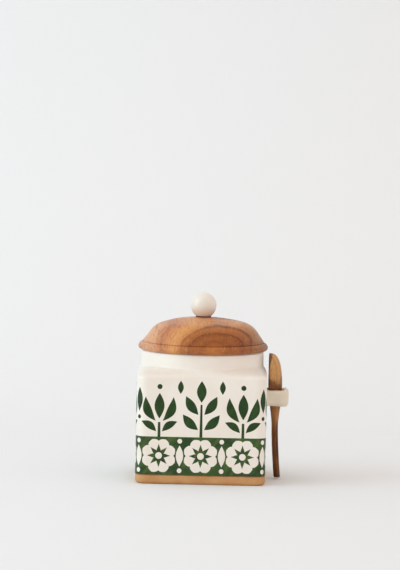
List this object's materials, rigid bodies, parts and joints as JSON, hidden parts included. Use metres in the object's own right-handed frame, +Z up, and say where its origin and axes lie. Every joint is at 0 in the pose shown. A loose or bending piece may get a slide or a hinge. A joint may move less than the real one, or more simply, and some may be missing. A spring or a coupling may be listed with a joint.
{
  "type": "lidded canister",
  "caption": "Square glazed stoneware canister with a turned wooden lid, a ball knob and a wooden scoop hung in a side loop.",
  "frame": {"origin": "centre of the base, on the surface that the jar stands on", "axes": "+Z up, +X to the side with the loop and scoop, -Y to the front, as in the picture"},
  "size_m": [0.1519, 0.13, 0.1856],
  "materials": {
    "glaze": "satin glaze, cream white, with green underglaze painting and a bare tan foot",
    "lid_wood": "oiled, satin, strong brown grain",
    "silicone": "matte, translucent white",
    "knob_glaze": "satin glaze, ivory",
    "insert_brass": "turned",
    "pad_leather": "matte, dark brown",
    "screw_steel": "zinc plated",
    "scoop_wood": "oiled, satin, golden brown grain"
  },
  "bodies": {
    "jar": {"jar_shell": "glaze", "scoop_loop": "glaze"},
    "seal_ring": {"lid_seal": "silicone"},
    "lid": {"lid_dome": "lid_wood", "lid_plug": "lid_wood", "knob": "knob_glaze", "knob_insert": "insert_brass", "knob_pad": "pad_leather", "knob_screw": "screw_steel", "screw_washer": "screw_steel"},
    "hanging_scoop": {"scoop": "scoop_wood"}
  },
  "joints": [
    {"name": "lid_lift", "type": "slide", "parent": "jar", "child": "seal_ring", "axis": [0, 0, 1], "range_m": [0, 0.06]},
    {"name": "lid_turn", "type": "hinge", "parent": "seal_ring", "child": "lid", "pos_m": [0, 0, 0.124], "axis": [0, 0, 1], "continuous": true},
    {"name": "scoop_lift", "type": "slide", "parent": "jar", "child": "hanging_scoop", "axis": [0, 0, 1], "range_m": [0, 0.095]}
  ]
}
